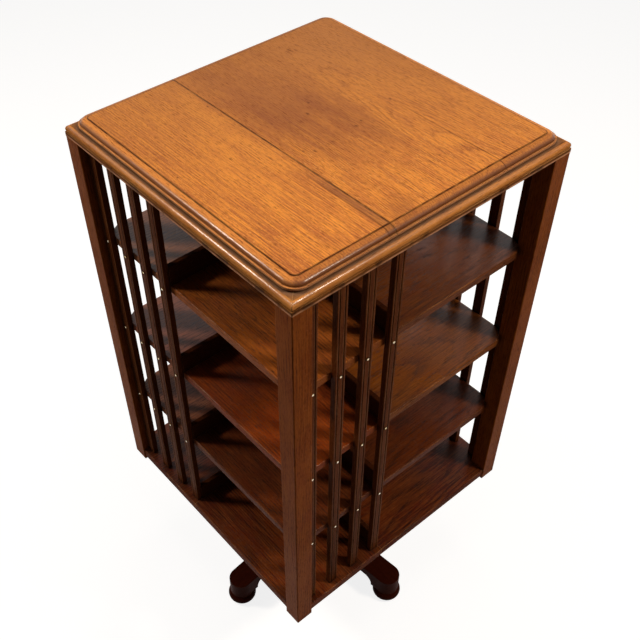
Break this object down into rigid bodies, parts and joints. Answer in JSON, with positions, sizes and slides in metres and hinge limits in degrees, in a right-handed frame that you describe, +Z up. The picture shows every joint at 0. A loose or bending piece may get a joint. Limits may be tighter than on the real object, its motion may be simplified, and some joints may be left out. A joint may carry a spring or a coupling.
{
  "type": "revolving bookcase",
  "caption": "Square open-sided bookcase with slatted sides that turns on a cross-shaped foot.",
  "frame": {"origin": "on the floor, on the axis that the case turns about", "axes": "+Z up along the turning axis, -Y out of the side called front and -X out of the left side"},
  "size_m": [0.6, 0.6, 1.215],
  "materials": {
    "top": "satin",
    "frame_moulding": "satin",
    "posts": "satin",
    "slats": "satin",
    "shelves": "satin",
    "stop_rails": "satin",
    "bottom": "satin",
    "column": "satin",
    "carrier": "satin",
    "foot": "satin",
    "brass_screws": "satin",
    "bush_brass": "satin",
    "bearing_steel": "satin"
  },
  "bodies": {
    "foot": {"cross_bar_lower": "foot", "cross_bar_upper": "foot", "bun_foot_1": "foot", "bun_foot_2": "foot", "bun_foot_3": "foot", "bun_foot_4": "foot", "pillar": "foot", "spindle": "bearing_steel", "lower_bearing_plate": "bearing_steel"},
    "case": {"corner_post_front_left": "posts", "slat_front_1": "slats", "slat_front_2": "slats", "slat_front_3": "slats", "slat_front_4": "slats", "shelf_1_front": "shelves", "shelf_2_front": "shelves", "shelf_3_front": "shelves", "bottom_board_front": "bottom", "top_rail_front": "frame_moulding", "corner_post_front_right": "posts", "slat_right_1": "slats", "slat_right_2": "slats", "slat_right_3": "slats", "slat_right_4": "slats", "shelf_1_right": "shelves", "shelf_2_right": "shelves", "shelf_3_right": "shelves", "bottom_board_right": "bottom", "top_rail_right": "frame_moulding", "corner_post_back_right": "posts", "slat_back_1": "slats", "slat_back_2": "slats", "slat_back_3": "slats", "slat_back_4": "slats", "shelf_1_back": "shelves", "shelf_2_back": "shelves", "shelf_3_back": "shelves", "bottom_board_back": "bottom", "top_rail_back": "frame_moulding", "corner_post_back_left": "posts", "slat_left_1": "slats", "slat_left_2": "slats", "slat_left_3": "slats", "slat_left_4": "slats", "shelf_1_left": "shelves", "shelf_2_left": "shelves", "shelf_3_left": "shelves", "bottom_board_left": "bottom", "top_rail_left": "frame_moulding", "stop_rails_tier_1": "stop_rails", "stop_rails_tier_2": "stop_rails", "stop_rails_tier_3": "stop_rails", "stop_rails_tier_4": "stop_rails", "slat_screws": "brass_screws", "column_boards": "column", "carrier_board": "carrier", "top_board_narrow": "top", "top_board_wide": "top", "upper_bearing_plate": "bearing_steel", "top_bush": "bush_brass"}
  },
  "joints": [
    {"name": "case_turn", "type": "hinge", "parent": "foot", "child": "case", "pos_m": [0, 0, 0.319], "axis": [0, 0, 1], "continuous": true}
  ]
}
